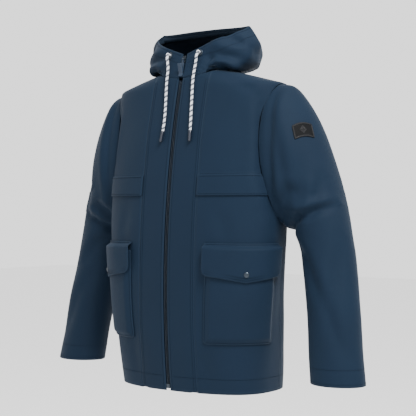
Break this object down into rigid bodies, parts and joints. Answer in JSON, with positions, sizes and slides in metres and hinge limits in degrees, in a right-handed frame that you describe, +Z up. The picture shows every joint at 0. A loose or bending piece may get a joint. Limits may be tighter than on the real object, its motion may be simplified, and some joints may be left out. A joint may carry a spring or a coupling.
{
  "type": "foul weather jacket",
  "caption": "Hooded sailing jacket as worn: zip front, front and back yokes, flapped patch pockets, set-in sleeves, standing hood with drawcord.",
  "frame": {"origin": "midway between the two neck points, where the shoulder seams meet the neck seam", "axes": "+X towards the wearer's left, -Y out of the front, +Z up; the jacket is in the shape it has when worn"},
  "size_m": [0.9, 0.2879, 0.8584],
  "materials": {
    "shell_fabric": "tightly woven navy polyester, dull sheen",
    "lining_fabric": "smooth dark navy lining",
    "webbing": "narrow woven tape",
    "zip_coil": "moulded coil",
    "zip_pull": "soft moulded tab",
    "hardware": "dark lacquered, semi-matt",
    "drawcord": "twisted cord, white with navy",
    "cord_tip": "heat-shrunk sleeve",
    "badge": "woven patch, plain"
  },
  "bodies": {
    "jacket": {"back_panel": "shell_fabric", "back_yoke": "shell_fabric", "body_lining_left": "lining_fabric", "body_lining_right": "lining_fabric", "cord_eyelet_left": "hardware", "cord_eyelet_right": "hardware", "drawcord_inside": "drawcord", "front_strip_left": "shell_fabric", "front_strip_right": "shell_fabric", "front_yoke_left": "shell_fabric", "front_yoke_right": "shell_fabric", "hanger_loop": "webbing", "hem_facing": "lining_fabric", "hood_centre": "shell_fabric", "hood_lining_left": "lining_fabric", "hood_lining_right": "lining_fabric", "hood_side_left": "shell_fabric", "hood_side_right": "shell_fabric", "hood_tunnel_left": "lining_fabric", "hood_tunnel_right": "lining_fabric", "neck_label": "webbing", "pocket_left": "shell_fabric", "pocket_right": "shell_fabric", "side_front_left": "shell_fabric", "side_front_right": "shell_fabric", "snap_stud_left": "hardware", "snap_stud_right": "hardware", "storm_flap": "lining_fabric", "zip_bottom_box": "hardware", "zip_coil_left": "zip_coil", "zip_coil_right": "zip_coil", "zip_tape_left": "webbing", "zip_tape_right": "webbing", "zip_top_stop_left": "hardware", "zip_top_stop_right": "hardware"},
    "slider": {"zip_slider": "hardware"},
    "pull": {"zip_pull": "zip_pull"},
    "flap_left": {"pocket_flap_left": "shell_fabric", "snap_cap_left": "hardware"},
    "flap_right": {"pocket_flap_right": "shell_fabric", "snap_cap_right": "hardware"},
    "cord_left": {"drawcord_left": "drawcord", "cord_tip_left": "cord_tip"},
    "cord_right": {"drawcord_right": "drawcord", "cord_tip_right": "cord_tip"},
    "sleeve_left": {"sleeve_left": "shell_fabric", "cuff_facing_left": "lining_fabric", "sleeve_badge": "badge"},
    "sleeve_right": {"sleeve_right": "shell_fabric", "cuff_facing_right": "lining_fabric"}
  },
  "joints": [
    {"name": "zip_travel", "type": "hinge", "parent": "jacket", "child": "slider", "pos_m": [0, 1.9652, -0.52], "axis": [1, 0, 0], "range_deg": [0, 20.5]},
    {"name": "pull_swing", "type": "hinge", "parent": "slider", "child": "pull", "pos_m": [0, -0.06631, 0.02482], "axis": [-1, 0, 0], "range_deg": [0, 150]},
    {"name": "flap_left_lift", "type": "hinge", "parent": "jacket", "child": "flap_left", "pos_m": [0.2037, -0.0923, -0.41], "axis": [-0.7878, -0.6159, 0], "range_deg": [0, 135]},
    {"name": "flap_right_lift", "type": "hinge", "parent": "jacket", "child": "flap_right", "pos_m": [-0.2037, -0.0923, -0.41], "axis": [-0.7878, 0.6159, 0], "range_deg": [0, 135]},
    {"name": "cord_left_swing", "type": "hinge", "parent": "jacket", "child": "cord_left", "pos_m": [0.04554, -0.06347, 0.03898], "axis": [-1, 0, 0], "range_deg": [0, 50]},
    {"name": "cord_right_swing", "type": "hinge", "parent": "jacket", "child": "cord_right", "pos_m": [-0.04554, -0.06347, 0.03898], "axis": [-1, 0, 0], "range_deg": [0, 50]},
    {"name": "arm_left_lift", "type": "hinge", "parent": "jacket", "child": "sleeve_left", "pos_m": [0.2345, 0.004, -0.0425], "axis": [0, -1, 0], "range_deg": [0, 40]},
    {"name": "arm_right_lift", "type": "hinge", "parent": "jacket", "child": "sleeve_right", "pos_m": [-0.2345, 0.004, -0.0425], "axis": [0, 1, 0], "range_deg": [0, 40]}
  ]
}
